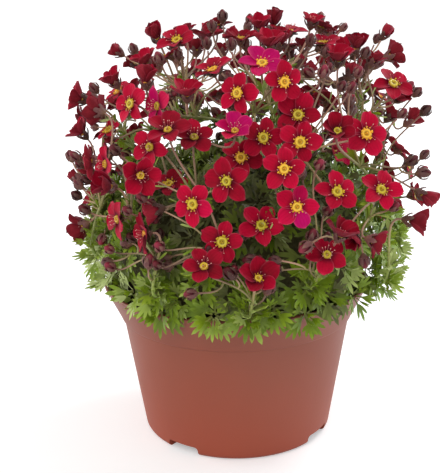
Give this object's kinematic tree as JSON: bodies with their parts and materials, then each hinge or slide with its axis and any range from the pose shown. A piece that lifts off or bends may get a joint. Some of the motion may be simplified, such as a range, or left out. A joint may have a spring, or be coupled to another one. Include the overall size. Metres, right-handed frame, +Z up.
{
  "type": "potted mossy saxifrage",
  "caption": "Mossy saxifrage in flower: a dome of crimson five-petalled flowers on thin stalks over a cushion of lobed leaves, in a round flared plastic pot.",
  "frame": {"origin": "on the pot's axis, at the level of the ring and pad that the pot stands on", "axes": "+Z up along the pot's axis, -Y the front, +X to the right seen from the front"},
  "size_m": [0.1685, 0.1801, 0.2039],
  "materials": {
    "pot": "satin",
    "compost": "matte",
    "leaves": "satin",
    "flowers": "matte"
  },
  "bodies": {
    "root": {"pot": "pot", "compost": "compost", "leaf_cushion": "leaves", "flower_spray_01": "flowers", "flower_spray_02": "flowers", "flower_spray_03": "flowers", "flower_spray_04": "flowers", "flower_spray_05": "flowers", "flower_spray_06": "flowers", "flower_spray_07": "flowers", "flower_spray_08": "flowers", "flower_spray_09": "flowers", "flower_spray_10": "flowers", "flower_spray_11": "flowers", "flower_spray_12": "flowers", "flower_spray_13": "flowers", "flower_spray_14": "flowers", "flower_spray_15": "flowers", "flower_spray_16": "flowers", "flower_spray_17": "flowers", "flower_spray_18": "flowers", "flower_spray_19": "flowers", "flower_spray_20": "flowers", "flower_spray_21": "flowers", "flower_spray_22": "flowers", "flower_spray_23": "flowers", "flower_spray_24": "flowers", "flower_spray_25": "flowers", "flower_spray_26": "flowers", "flower_spray_27": "flowers", "flower_spray_28": "flowers", "flower_spray_29": "flowers", "flower_spray_30": "flowers", "flower_spray_31": "flowers", "flower_spray_32": "flowers", "flower_spray_33": "flowers", "flower_spray_34": "flowers", "flower_spray_35": "flowers", "flower_spray_36": "flowers", "flower_spray_37": "flowers"}
  },
  "joints": []
}
